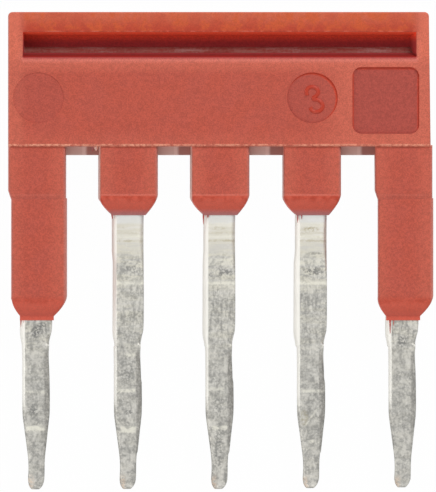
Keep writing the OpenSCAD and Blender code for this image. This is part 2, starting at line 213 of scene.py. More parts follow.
class JUMPER_PG_finish(bpy.types.PropertyGroup):
    """Colours of the plastic and the plating, and the light on them."""

    red: colour("Plastic", "Brick-red polyamide", (0.505, 0.094, 0.062))
    red_warm: colour("Plastic, warm", "Warmer clouds in the plastic", (0.515, 0.092, 0.057))
    red_pale: colour("Plastic, pale", "Where the plastic runs paler", (0.62, 0.14, 0.088))
    # Painted highlight on rounded rims: above the groove, on its lead-in and along the bends at the tops of the
    # noses
    painted_rim_highlight: colour("Plastic, rims", "Rounded rims beside the groove", (0.7, 0.18, 0.13))
    # Painted light beside the groove's ends, for light through the plastic near the ends of the bar
    painted_end_glow: colour("Plastic, groove ends", "Paler plastic beside the groove", (0.74, 0.17, 0.1))
    rim_pale: colour("Plastic, ends", "Pale rims at the ends and walls", (0.62, 0.3, 0.26))
    # Painted shadow on the upper right rims of the recesses
    painted_recess_rim_shadow: colour("Plastic, recess rims", "Shaded rims of the recesses", (0.6, 0.05, 0.016))
    # Painted sheen on the left walls of the sleeves; also the light tone of the pale flash
    pale_flash_and_wall_sheen: colour("Plastic, walls", "Scuffed left walls of the sleeves", (0.85, 0.6, 0.52))
    # Painted highlight along the bar's lower edge; also the darker tone of the pale flash
    edge_highlight_and_pale_flash: colour("Plastic, burr", "Thin burr along the bar's lower edge", (0.86, 0.38, 0.25))
    # The lip's deep, saturated red at the groove is painted light through the thin lip; its orange patches are
    # tone
    lip: colour("Lip", "The lip above the groove", (0.5, 0.056, 0.026))
    lip_pale: colour("Lip, pale", "The upper part of the lip", (0.66, 0.145, 0.074))
    lip_orange: colour("Lip, orange", "Orange patches on the lip", (0.62, 0.105, 0.03))
    nose: colour("Noses", "The noses of the sleeves", (0.68, 0.108, 0.062))
    # Painted shade at the bottoms of the noses, where they close on the pins; also the light tone of the red flash
    nose_end: colour("Nose ends", "Where a nose meets its pin", (0.44, 0.19, 0.195))
    # Painted light and shade in the groove: deep red inside, a bright upper wall, a dark lower wall and a lighter
    # rounded edge
    groove: colour("Groove", "Deep red inside the groove", (0.36, 0.032, 0.034))
    painted_groove_light: colour("Groove, bright", "The groove's upper wall", (0.92, 0.085, 0.03))
    painted_groove_low_shade: colour("Groove, low", "The groove's lower wall", (0.11, 0.006, 0.004))
    painted_groove_edge_shade: colour("Groove, edge", "The rounded lower edge of the groove", (0.33, 0.012, 0.006))
    numeral: colour("Number", "The raised cavity number", (0.51, 0.041, 0.019))
    recess: colour("Recess", "Floors of the recesses", (0.42, 0.074, 0.054))
    tin: colour("Tin", "Smooth and light plating", (0.6, 0.585, 0.54))
    tin_warm: colour("Tin, warm", "Warmer bands in the plating", (0.55, 0.53, 0.455))
    tin_cool: colour("Tin, cool", "Bluish plating just below the sleeves", (0.6, 0.61, 0.61))
    # Lighter lines across the pins and a scratch; on the ridge at 0.78 mm it is a painted highlight
    tin_lines_and_ridge_highlight: colour("Tin, bright", "Polished lines across the pins", (0.63, 0.615, 0.54))
    # Painted highlight on the left bevels of the pins
    painted_left_bevel_highlight: colour("Tin, edge", "Bright left edges of the pins", (0.92, 0.9, 0.84))
    tin_worn: colour("Tin, worn", "Duller plating on the contact faces", (0.43, 0.42, 0.39))
    tin_dark: colour("Tin, dark", "Dark blotches", (0.175, 0.175, 0.168))
    # Rough coined right bevels, darkened with painted shade
    coined_and_shaded_bevel: colour("Tin, coined", "Rough coined edges", (0.23, 0.222, 0.207))
    tin_bronze: colour("Tin, bronze", "Brownish smudges", (0.4, 0.36, 0.26))
    # Painted reflection of the red plastic in the plating between the sleeves
    gap: colour("Tin between sleeves", "Plating tinted by the plastic", (0.82, 0.54, 0.475))
    # Painted shade and red reflection of each sleeve on the plating just to its left
    painted_shade_beside_sleeves: colour("Film between sleeves", "Plastic film on the plating", (0.32, 0.1, 0.075))
    # Painted dark red reflection on the plating inside the groove
    painted_groove_reflection: colour("Film in the groove", "Plastic film on the plating", (0.24, 0.032, 0.022))
    copper: colour("Copper", "Copper that shows through worn plating", (0.5, 0.32, 0.2))
    key: FloatProperty(name="Key light", description="Level of the key on the floor", default=0.35)
    fill: FloatProperty(name="Fill light", description="Level of the fill", default=0.15)
    left: FloatProperty(name="Left light", description="Level of the left light", default=0.12)
    sky: FloatProperty(name="Sky", description="Level of the even light", default=0.33)


# Modelling by hand


def only(obj):
    """Selects this object alone and makes it active, in object mode."""
    if bpy.context.mode != "OBJECT":
        bpy.ops.object.mode_set(mode="OBJECT")
    bpy.ops.object.select_all(action="DESELECT")
    obj.select_set(True)
    bpy.context.view_layer.objects.active = obj


def pick(obj, kind, test):
    """Goes into edit mode and selects the vertices, edges or faces that pass the test."""
    only(obj)
    bpy.ops.object.mode_set(mode="EDIT")
    bpy.ops.mesh.select_mode(type=kind)
    bpy.ops.mesh.select_all(action="DESELECT")
    mesh = bmesh.from_edit_mesh(obj.data)
    parts = {"VERT": mesh.verts, "EDGE": mesh.edges, "FACE": mesh.faces}[kind]
    found = [part for part in parts if test(part)]
    if not found:
        raise RuntimeError(f"nothing to select on {obj.name}")
    for part in found:
        part.select_set(True)
    bmesh.update_edit_mesh(obj.data)
    return len(found)


def leave():
    """Back to object mode."""
    bpy.ops.object.mode_set(mode="OBJECT")


def near(a, b):
    return abs(a - b) < NEAR


def box(name, low, high):
    """A block between two corners, with its place in its mesh."""
    low, high = Vector(low), Vector(high)
    bpy.ops.object.select_all(action="DESELECT")
    bpy.ops.mesh.primitive_cube_add(size=1, location=(low + high) / 2, scale=high - low)
    obj = bpy.context.active_object
    obj.name = obj.data.name = name
    bpy.ops.object.transform_apply(location=True, rotation=True, scale=True)
    return obj


def cut(obj, axis, place):
    """Cuts an edge loop round the whole mesh at a place along X, Y or Z."""
    normal = [float(name == axis) for name in "XYZ"]
    pick(obj, "FACE", lambda face: True)
    point = [place * part for part in normal]
    bpy.ops.mesh.bisect(plane_co=point, plane_no=normal, threshold=NEAR / 10)
    leave()


def push(by):
    """Moves what is selected."""
    bpy.ops.transform.translate(value=by)


def size(by, about):
    """Scales what is selected about a point."""
    bpy.ops.transform.resize(value=by, center_override=about)


def extrude(by):
    """Draws the selected faces out."""
    bpy.ops.mesh.extrude_region_move(TRANSFORM_OT_translate={"value": by})


def bevel(offset, segments=2, profile=0.5):
    """Rounds the selected edges."""
    bpy.ops.mesh.bevel(
        offset=offset, offset_type="OFFSET", segments=segments, profile=profile,
        affect="EDGES", clamp_overlap=True,
    )


def combine(obj, other, operation):
    """Adds another solid to this one or cuts it away, and removes the other."""
    only(obj)
    modifier = obj.modifiers.new(operation.title(), "BOOLEAN")
    modifier.operation = operation
    modifier.solver = "EXACT"
    modifier.object = other
    bpy.ops.object.modifier_apply(modifier=modifier.name)
    bpy.data.objects.remove(other)


def copy_at(obj, name, by):
    """A copy with a mesh of its own, moved by a distance."""
    made = obj.copy()
    made.data = obj.data.copy()
    made.name = made.data.name = name
    bpy.context.scene.collection.objects.link(made)
    only(made)
    push(by)
    bpy.ops.object.transform_apply(location=True, rotation=False, scale=False)
    return made


def smooth(obj, degrees):
    """Smooth shading up to an angle, with flat faces kept flat."""
    only(obj)
    bpy.ops.object.shade_smooth_by_angle(angle=math.radians(degrees))
    modifier = obj.modifiers.new("Normals", "WEIGHTED_NORMAL")
    modifier.keep_sharp = True
    bpy.ops.object.modifier_apply(modifier=modifier.name)


def give(obj, material):
    """Puts the finish on a piece and lets it ride with the part."""
    obj.data.materials.clear()
    obj.data.materials.append(material)
    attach(obj, "root")


def along(edge, axis):
    """Whether an edge runs along X, Y or Z."""
    run = edge.verts[1].co - edge.verts[0].co
    return abs(run["XYZ".index(axis)]) > 0.98 * run.length


def at_level(part, level):
    """Whether all of an edge or face lies at one height."""
    return all(near(vert.co.z, level) for vert in part.verts)


def curve_at(start, towards, end, t):
    """A point of a curve that is drawn towards a control point."""
    return (1 - t) ** 2 * start + 2 * t * (1 - t) * towards + t**2 * end


def pin_places(pins):
    """X of each pin. The wider reach past the right-hand pin shifts them to the left."""
    first = COMB_LOW.x + pins.shank / 2
    return [first + i * pins.pitch for i in range(pins.count)]


# Contact comb


def pin_rows(pins):
    """Rows of a pin: height above the tip, half width, lean to the left and half thickness."""
    half = (COMB_HIGH.z - COMB_LOW.z) / 2 / MM
    shank, neck, belly = pins.shank / 2 / MM, pins.neck / 2 / MM, pins.belly / 2 / MM
    waist, tip, thin = pins.waist / 2 / MM, pins.tip / 2 / MM, pins.tip_thickness / 2 / MM
    rows = (
        (14.16, shank, 0.025, half),
        (14.08, shank, 0.025, half + 0.02),
        (14.0, shank, 0.025, half),
        (9.7, shank, 0.025, half),
        (9.2, shank, 0.035, half),
        (8.86, shank - 0.01, 0.045, half),
        (8.62, shank - 0.035, 0.06, half),
        (8.4, 0.5 * (shank + neck) + 0.01, 0.078, half),
        (8.18, neck + 0.035, 0.073, half),
        (7.95, neck + 0.015, 0.062, half),
        (7.7, neck + 0.01, 0.06, half),
        (7.25, neck + 0.005, 0.053, half),
        (6.2, belly - 0.01, 0.04, half),
        (5.2, belly, 0.03, half),
        (4.3, belly - 0.005, 0.03, half),
        (3.95, belly - 0.04, 0.03, half),
        (3.55, 0.68, 0.025, half),
        (3.38, 0.655, 0.022, half - 0.012),
        (2.62, 0.567, 0.012, half - 0.07),
        (2.1, 0.502, 0.007, half - 0.115),
        (1.65, waist + 0.012, 0.005, half - 0.15),
        (1.1, waist + 0.005, 0.0, half - 0.2),
        (0.68, tip - 0.01, 0.02, thin + 0.03),
        (0.4, tip - 0.025, 0.03, thin + 0.01),
        (0.18, 0.375, 0.05, thin - 0.02),
        (0.0, 0.21, 0.07, thin * 0.4),
    )
    return [[part * MM for part in row] for row in rows]


def model_pin(pins):
    """One pin at X = 0: a flat blank, cut into rows that are then set to their widths."""
    middle = (COMB_LOW.z + COMB_HIGH.z) / 2
    half_z = (COMB_HIGH.z - COMB_LOW.z) / 2
    blank = pins.shank / 2
    top = TOP_Y - bpy.context.scene.jumper_body.height + 0.53 * MM
    pin = box("pin", (-blank, TIP_Y, COMB_LOW.z), (blank, top, COMB_HIGH.z))
    rows = pin_rows(pins)
    for height, *_ in rows[:-1]:
        cut(pin, "Y", TIP_Y + height)
    cut(pin, "X", -pins.left_bevel)
    cut(pin, "X", pins.right_bevel)

    run_out = (7.25 * MM, 7.75 * MM)
    for height, wide, lean, thick in [[top - TIP_Y, blank, 0.0, half_z], *rows]:
        y = TIP_Y + height
        coined = min(max((run_out[1] - height) / (run_out[1] - run_out[0]), 0.0), 1.0)
        left_start = min(pins.left_bevel, wide * 0.8)
        right_start = min(pins.right_bevel, wide * 0.8)
        left_drop = min((wide + lean - left_start) * 0.9, thick * 0.55)
        right_drop = min((wide - lean - right_start) * 0.78 * coined, thick * 0.6)
        columns = (
            (-blank, -wide - lean, thick - left_drop),
            (-pins.left_bevel, -left_start - lean, thick),
            (pins.right_bevel, right_start - lean, thick),
            (blank, wide - lean, thick - right_drop),
        )
        for old_x, new_x, new_half in columns:
            pick(pin, "VERT", lambda v: near(v.co.y, y) and near(v.co.x, old_x))
            push((new_x - old_x, 0, 0))
            size((1, 1, new_half / half_z), (0, y, middle))
            leave()

    pick(pin, "EDGE", lambda e: along(e, "Y") or e.verts[0].co.y > top - NEAR)
    bpy.ops.transform.edge_crease(value=0.72)
    pick(pin, "EDGE", lambda e: along(e, "X") and near(e.verts[0].co.y, TIP_Y + rows[17][0]))
    bpy.ops.transform.edge_crease(value=0.6)
    leave()
    only(pin)
    modifier = pin.modifiers.new("Subdivision", "SUBSURF")
    modifier.levels = modifier.render_levels = 2
    bpy.ops.object.modifier_apply(modifier=modifier.name)
    return pin


class JUMPER_OT_contact_comb(bpy.types.Operator):
    """Model the comb: one bar and a row of coined pins"""

    bl_idname = "jumper.contact_comb"
    bl_label = "Contact Comb"

    def execute(self, context):
        pins = context.scene.jumper_pins
        places = pin_places(pins)
        bar_low = TOP_Y - context.scene.jumper_body.height - pins.drop
        comb = box(
            "comb_bar",
            (places[0] - pins.shank / 2, bar_low, COMB_LOW.z),
            (places[-1] + pins.shank / 2, COMB_HIGH.y, COMB_HIGH.z),
        )
        pick(comb, "EDGE", lambda e: along(e, "X") and e.verts[0].co.y > bar_low + NEAR)
        bevel(pins.edge, segments=1)
        pick(comb, "EDGE", lambda e: True)
        bevel(0.03 * MM)
        leave()
        pin = model_pin(pins)
        for i, (x, (wider_left, wider_right, shorter)) in enumerate(zip(places, PIN_DIFFERENCES)):
            made = copy_at(pin, f"pin_{i}", (x, 0, 0))
            pick(
                made,
                "VERT",
                lambda v: v.co.x < x - pins.left_bevel and 8.0 * MM < v.co.y - TIP_Y < 13.0 * MM,
            )
            push((-wider_left * MM, 0, 0))
            pick(
                made,
                "VERT",
                lambda v: v.co.x > x + pins.right_bevel and 2.0 * MM < v.co.y - TIP_Y < 6.0 * MM,
            )
            push((wider_right * MM, 0, 0))
            pick(made, "VERT", lambda v: v.co.y - TIP_Y < 0.5 * MM)
            push((0, shorter * MM, 0))
            leave()
            combine(comb, made, "UNION")
        bpy.data.objects.remove(pin)
        comb.name = comb.data.name = "tinned_comb"
        smooth(comb, 50)
        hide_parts("contact_comb")
        give(comb, tin_plating(context.scene.jumper_finish, pins))
        return {"FINISHED"}


# Insulating body


def model_bar(body):
    """The bar: drafted ends, rounded top corners, broken edges and a groove on each face."""
    bar_low = TOP_Y - body.height
    places = pin_places(bpy.context.scene.jumper_pins)
    middle = (places[0] + places[-1]) / 2
    half = (places[-1] - places[0]) / 2 + body.overhang
    left, right = middle - half, middle + half - body.right_short
    bar = box("bar", (left, bar_low, BODY_LOW.z), (right, TOP_Y, BODY_HIGH.z))
    cut(bar, "Z", PARTING)

    about = (middle, bar_low, PARTING)
    pick(bar, "VERT", lambda v: not near(v.co.z, PARTING))
    size(((half - body.draft) / half, 1, 1), about)
    pick(bar, "VERT", lambda v: not near(v.co.z, PARTING) and v.co.y > bar_low + NEAR)
    push((0, -body.draft, 0))
    pick(bar, "VERT", lambda v: v.co.y > bar_low + NEAR)
    size((1 - body.end_taper / half, 1, 1), (left, bar_low, PARTING))
    pick(bar, "EDGE", lambda e: along(e, "Z") and e.verts[0].co.y > bar_low + NEAR)
    bevel(body.corner, segments=6)
    for level in (BODY_LOW.z, BODY_HIGH.z):
        pick(bar, "EDGE", lambda e: at_level(e, level))
        bevel(body.edge, segments=3)
    leave()

    mouth_high = TOP_Y - body.groove_top
    mouth_low = mouth_high - body.groove_height
    reach = half - body.groove_margin
    shelf = mouth_low - body.lead_in
    for y in (TOP_Y - body.lip_flat, mouth_high, mouth_low, mouth_low - body.lead_in / 2, shelf):
        cut(bar, "Y", y)
    for x in (reach, reach + body.run_out):
        cut(bar, "X", middle - x)
        cut(bar, "X", middle + x)
    for side, level in ((1, BODY_HIGH.z), (-1, BODY_LOW.z)):
        model_groove(bar, body, middle, reach, mouth_high, mouth_low, side, level)
    return bar


def model_groove(bar, body, middle, reach, mouth_high, mouth_low, side, level):
    """The lip, the lead-in and the leaning walls of one groove. Side is 1 on the front."""

    def drop(y, depth):
        pick(
            bar,
            "VERT",
            lambda v: near(v.co.y, y) and near(v.co.z, level) and abs(v.co.x - middle) < reach + NEAR,
        )
        push((0, 0, -side * depth))

    drop(mouth_high, body.lip_slope)
    drop(mouth_low, body.lead_in_depth)
    drop(mouth_low - body.lead_in / 2, body.lead_in_depth * 0.27)

    def in_mouth(face):
        place = face.calc_center_median()
        return (
            face.normal.z * side > 0.5
            and mouth_low < place.y < mouth_high
            and abs(place.x - middle) < reach
        )

    pick(bar, "FACE", in_mouth)
    floor = level - side * body.groove_depth
    extrude((0, 0, -side * body.groove_depth))
    high, low = mouth_high - body.upper_lean, mouth_low + body.lower_lean
    shrink = (high - low) / (mouth_high - mouth_low)
    still = (high - shrink * mouth_high) / (1 - shrink)
    leans = body.left_lean + body.right_lean
    pivot = middle - reach + 2 * reach * body.left_lean / leans
    size((1 - leans / (2 * reach), shrink, 0), (pivot, still, floor))
    leave()

    def on_rim(edge):
        ends = [vert.co for vert in edge.verts]
        inside = all(
            mouth_low - NEAR < end.y < mouth_high + NEAR
            and abs(end.x - middle) < reach + NEAR
            and abs(end.z - level) < 0.2 * MM
            for end in ends
        )
        return inside

    pick(bar, "EDGE", on_rim)
    bevel(0.045 * MM, segments=3)
    leave()


def lean_walls(obj, width, offset, front):
    """Leans the two side walls of a sleeve in from the parting plane."""
    cut(obj, "Z", PARTING)
    for level in (front, BODY_LOW.z):
        lean = 1 - 2 * math.tan(math.radians(1.5)) * abs(level - PARTING) / width
        pick(obj, "VERT", lambda v: near(v.co.z, level))
        size((lean, 1, 1), (offset, 0, 0))
    leave()


def model_sleeve(name, sleeves, shoulder, width, offset, front, low, high):
    """A drafted sleeve round a pin at X = 0, with a nose that closes in on the pin."""
    pins = bpy.context.scene.jumper_pins
    nose_top = low + sleeves.nose
    sleeve = box(
        name,
        (offset - width / 2, nose_top, BODY_LOW.z),
        (offset + width / 2, high, front),
    )
    lean_walls(sleeve, width, offset, front)
    pick(sleeve, "EDGE", lambda e: along(e, "Y") and at_level(e, front))
    bevel(sleeves.edge, segments=5)
    pick(sleeve, "EDGE", lambda e: along(e, "Y") and at_level(e, BODY_LOW.z))
    bevel(0.07 * MM, segments=3)

    end_half = pins.shank / 2 + sleeves.wall
    end_front, end_back = COMB_HIGH.z + sleeves.wall, COMB_LOW.z - sleeves.wall
    rings = []
    for step in range(9):
        t = step / 8
        rings.append((
            curve_at(nose_top, nose_top - shoulder, low, t),
            curve_at(width / 2, width / 2, end_half, t),
            curve_at(offset, offset - sleeves.nose_lean, 0, t),
            curve_at(front, front, end_front, t),
            curve_at(BODY_LOW.z, BODY_LOW.z, end_back, t),
        ))
    pick(sleeve, "FACE", lambda f: f.normal.y < -0.9)
    for old, new in zip(rings, rings[1:]):
        old_mid, new_mid = (old[3] + old[4]) / 2, (new[3] + new[4]) / 2
        extrude((new[2] - old[2], new[0] - old[0], new_mid - old_mid))
        grow = (new[1] / old[1], 1, (new[3] - new[4]) / (old[3] - old[4]))
        size(grow, (new[2], new[0], new_mid))
    leave()
    return sleeve


def model_block(sleeves, body_edge, front, long_front, bar_low):
    """The wider block at the top of a long sleeve, which slopes back to the tube below."""
    low = bar_low - sleeves.block
    block = box(
        "block",
        (sleeves.block_offset - sleeves.block_width / 2, low, BODY_LOW.z),
        (sleeves.block_offset + sleeves.block_width / 2, bar_low + body_edge, front),
    )
    lean_walls(block, sleeves.block_width, sleeves.block_offset, front)
    pick(block, "EDGE", lambda e: along(e, "Y") and at_level(e, front))
    bevel(sleeves.edge, segments=5)
    pick(block, "EDGE", lambda e: along(e, "Y") and at_level(e, BODY_LOW.z))
    bevel(0.07 * MM, segments=3)
    leave()
    cut(block, "Y", low + sleeves.block_slope)
    cut(block, "Y", low + sleeves.block_run_out)
    pick(block, "VERT", lambda v: near(v.co.y, low) and v.co.z > PARTING + NEAR)
    drop = (long_front - PARTING) / (front - PARTING)
    size((1, 1, drop), (0, low, PARTING))
    tube_left = sleeves.long_offset - sleeves.long_width / 2
    inset = tube_left - (sleeves.block_offset - sleeves.block_width / 2)
    for y, share in ((low, 1), (low + sleeves.block_slope, 1 - sleeves.block_slope / sleeves.block_run_out)):
        pick(block, "VERT", lambda v: near(v.co.y, y) and v.co.x < 0)
        push((inset * share, 0, 0))
    leave()
    return block


def cut_recess(bar, cutter, flare, middle):
    """Cuts a shallow recess whose rim opens a little towards the face."""
    pick(cutter, "VERT", lambda v: v.co.z > BODY_HIGH.z)
    size((flare, flare, 1), middle)
    leave()
    combine(bar, cutter, "DIFFERENCE")


class JUMPER_OT_insulating_body(bpy.types.Operator):
    """Model the moulded body: bar, grooves, sleeves and recesses"""

    bl_idname = "jumper.insulating_body"
    bl_label = "Insulating Body"

    def execute(self, context):
        scene = context.scene
        body, sleeves = scene.jumper_body, scene.jumper_sleeves
        places = pin_places(scene.jumper_pins)
        bar_low = TOP_Y - body.height
        front = BODY_HIGH.z - sleeves.step
        long_front = front - sleeves.long_step
        shell = model_bar(body)

        short = model_sleeve(
            "short_sleeve", sleeves, sleeves.shoulder, sleeves.width, sleeves.offset, front,
            bar_low - sleeves.short, bar_low + 0.5 * MM,
        )
        long = model_sleeve(
            "long_sleeve", sleeves, sleeves.long_shoulder, sleeves.long_width, sleeves.long_offset, long_front,
            bar_low - sleeves.long, bar_low - sleeves.block + body.edge,
        )
        combine(long, model_block(sleeves, body.edge, front, long_front, bar_low), "UNION")
        half = scene.jumper_pins.shank / 2 + sleeves.wall
        collar_low = bar_low - sleeves.long - sleeves.collar
        collar = box(
            "collar",
            (-half, collar_low, COMB_LOW.z - sleeves.wall),
            (half, collar_low + 0.8 * MM, COMB_HIGH.z + sleeves.wall),
        )
        combine(long, collar, "UNION")
        for i, (x, lean, trim) in enumerate(zip(places, SLEEVE_LEANS, SLEEVE_TRIMS)):
            outer = i in (0, len(places) - 1)
            made = copy_at(long if outer else short, f"sleeve_{i}", (x, 0, 0))
            wide = sleeves.block_width if outer else sleeves.width
            right_wall = x + wide / 2 + (sleeves.block_offset if outer else sleeves.offset)
            pick(made, "VERT", lambda v: v.co.z > PARTING + NEAR)
            size((1 - lean * MM / wide, 1, 1), (right_wall, 0, 0))
            pick(made, "VERT", lambda v: v.co.y < bar_low + NEAR or not outer)
            size((1 - trim * MM / wide, 1, 1), (right_wall, 0, 0))
            leave()
            combine(shell, made, "UNION")
        bpy.data.objects.remove(short)
        bpy.data.objects.remove(long)

        left, right = places[0] - body.overhang, places[-1] + body.overhang
        disc_y = TOP_Y - body.disc_drop
        discs = (
            (left + body.plain_inset, body.plain_depth),
            (right - body.number_inset, body.number_depth),
        )
        for x, depth in discs:
            middle = (x, disc_y, BODY_HIGH.z + 0.25 * MM - depth / 2)
            bpy.ops.object.select_all(action="DESELECT")
            bpy.ops.mesh.primitive_cylinder_add(
                vertices=96, radius=body.disc / 2, depth=0.5 * MM + depth, location=middle,
            )
            cutter = context.active_object
            bpy.ops.object.transform_apply(location=True, rotation=True, scale=True)
            cut_recess(shell, cutter, 1.05, middle)
        x, y = right - body.square_inset, TOP_Y - body.square_drop
        side = body.square / 2
        cutter = box(
            "square",
            (x - side, y - side, BODY_HIGH.z - body.square_depth),
            (x + side, y + side, BODY_HIGH.z + 0.5 * MM),
        )
        pick(cutter, "EDGE", lambda e: along(e, "Z"))
        bevel(body.square_corner, segments=8)
        cut_recess(shell, cutter, 1.05, (x, y, BODY_HIGH.z))

        shell.name = shell.data.name = "moulded_body"
        smooth(shell, 32)
        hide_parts("insulating_body")
        give(shell, red_polyamide(scene))
        return {"FINISHED"}


# Moulding flash

# Slivers of plastic where the mould closed: place and lean to the right, all in millimetres,
# then length, width and thickness
FLASH = (
    (-11.12, -3.3, 0.0, 0.95, 0.14, 0.08),
    (-6.05, 2.25, 0.06, 0.5, 0.16, 0.1),
    (-0.95, 2.2, -0.1, 0.75, 0.12, 0.08),
    (-0.72, 2.1, 0.05, 0.3, 0.12, 0.08),
    (4.3, 2.35, -0.12, 0.8, 0.14, 0.08),
    (4.5, 2.1, 0.05, 0.35, 0.1, 0.07),
    (9.42, -3.1, 0.05, 1.5, 0.16, 0.1),
    (9.62, -3.5, 0.04, 0.7, 0.1, 0.07),
    (-7.12, 5.8, -0.1, 0.3, 0.16, 0.1),
    (-6.95, 5.84, 0.05, 0.28, 0.3, 0.2),
    (-11.5, 5.84, 0.05, 0.18, 0.2, 0.2),
)
# How many of the slivers, at the end of the list, are pale
PALE_FLASH = 2


def model_sliver():
    """One sliver, 1 mm long, wide and thick, that hangs down from the origin to a point."""
    sliver = box("sliver", (-0.5 * MM, -MM, -0.5 * MM), (0.5 * MM, 0, 0.5 * MM))
    pick(sliver, "EDGE", lambda e: along(e, "Y"))
    bevel(0.25 * MM)
    leave()
    for y in (-0.35, -0.7):
        cut(sliver, "Y", y * MM)
    for y, wide in ((-0.35, 0.8), (-0.7, 0.5), (-1.0, 0.12)):
        pick(sliver, "VERT", lambda v: near(v.co.y, y * MM))
        size((wide, 1, wide), (0, y * MM, 0))
    leave()
    return sliver


class JUMPER_OT_moulding_flash(bpy.types.Operator):
    """Model the slivers of flash where the pins leave their sleeves"""

    bl_idname = "jumper.moulding_flash"
    bl_label = "Moulding Flash"

    def execute(self, context):
        finish = context.scene.jumper_finish
        sliver = model_sliver()
        red = raised_polyamide("flash polyamide", finish.nose_end, finish.lip)
        pale = raised_polyamide("pale flash polyamide", finish.pale_flash_and_wall_sheen, finish.edge_highlight_and_pale_flash)
        for i, (x, y, lean, long, wide, thick) in enumerate(FLASH):
            piece = copy_at(sliver, f"moulding_flash_{i}", (0, 0, 0))
            pick(piece, "VERT", lambda v: v.co.y < -0.2 * MM)
            bpy.ops.transform.translate(value=(lean * MM, 0, 0))
            pick(piece, "VERT", lambda v: True)
            size((wide, long, thick), (0, 0, 0))
            push((x * MM, y * MM, COMB_HIGH.z))
            leave()
            smooth(piece, 60)
            give(piece, pale if i >= len(FLASH) - PALE_FLASH else red)
        bpy.data.objects.remove(sliver)
        return {"FINISHED"}


# Cavity number

# Middle line of the numeral, in millimetres from the middle of its disc
NUMERAL_LINE = (
    (-0.30, 0.13), (-0.33, 0.38), (-0.17, 0.57), (0.08, 0.59), (0.28, 0.45), (0.31, 0.25),
    (0.17, 0.07), (0.05, -0.04), (0.31, -0.12), (0.51, -0.29), (0.57, -0.50), (0.45, -0.70),
    (0.21, -0.78), (-0.02, -0.70), (-0.12, -0.54),
)


class JUMPER_OT_cavity_number(bpy.types.Operator):
    """Model the raised cavity number in its round recess"""

    bl_idname = "jumper.cavity_number"
    bl_label = "Cavity Number"

    def execute(self, context):
        body = context.scene.jumper_body
        places = pin_places(context.scene.jumper_pins)
        x = places[-1] + body.overhang - body.number_inset
        y = TOP_Y - body.disc_drop
        bpy.ops.object.select_all(action="DESELECT")
        bpy.ops.curve.primitive_bezier_curve_add(radius=MM)
        line = context.active_object
        line.name = "cavity_number"
        curve = line.data
        curve.bevel_depth = body.number_stroke / 2
        curve.bevel_resolution = 3
        curve.resolution_u = 8
        curve.use_fill_caps = True
        spline = curve.splines[0]
        spline.bezier_points.add(len(NUMERAL_LINE) - len(spline.bezier_points))
        for point, (right, up) in zip(spline.bezier_points, NUMERAL_LINE):
            point.co = (right * MM, up * MM, 0)
            point.handle_left_type = point.handle_right_type = "AUTO"
        bpy.ops.object.convert(target="MESH")
        line = context.active_object
        pick(line, "VERT", lambda v: True)
        top = BODY_HIGH.z - 0.01 * MM
        push((x, y, top - body.number_stroke / 2))
        bpy.ops.mesh.normals_make_consistent(inside=False)
        leave()
        smooth(line, 60)
        finish = context.scene.jumper_finish
        material = raised_polyamide("number polyamide", finish.numeral, finish.lip, top / MM)
        give(line, material)
        return {"FINISHED"}


# Materials


class Socket:
    """A node's output, on which sums are written as on a number."""

    def __init__(self, shader, output):
        self.shader = shader
        self.output = output

    def math(self, operation, first, second):
        kind = "VectorMath" if self.output.type == "VECTOR" else "Math"
        return self.shader.node(kind, {"operation": operation}, {0: first, 1: second})

    def __add__(self, other):
        return self.math("ADD", self, other)

    def __radd__(self, other):
        return self.math("ADD", other, self)

    def __sub__(self, other):
        return self.math("SUBTRACT", self, other)

    def __rsub__(self, other):
        return self.math("SUBTRACT", other, self)

    def __mul__(self, other):
        return self.math("MULTIPLY", self, other)

    def __rmul__(self, other):
        return self.math("MULTIPLY", other, self)


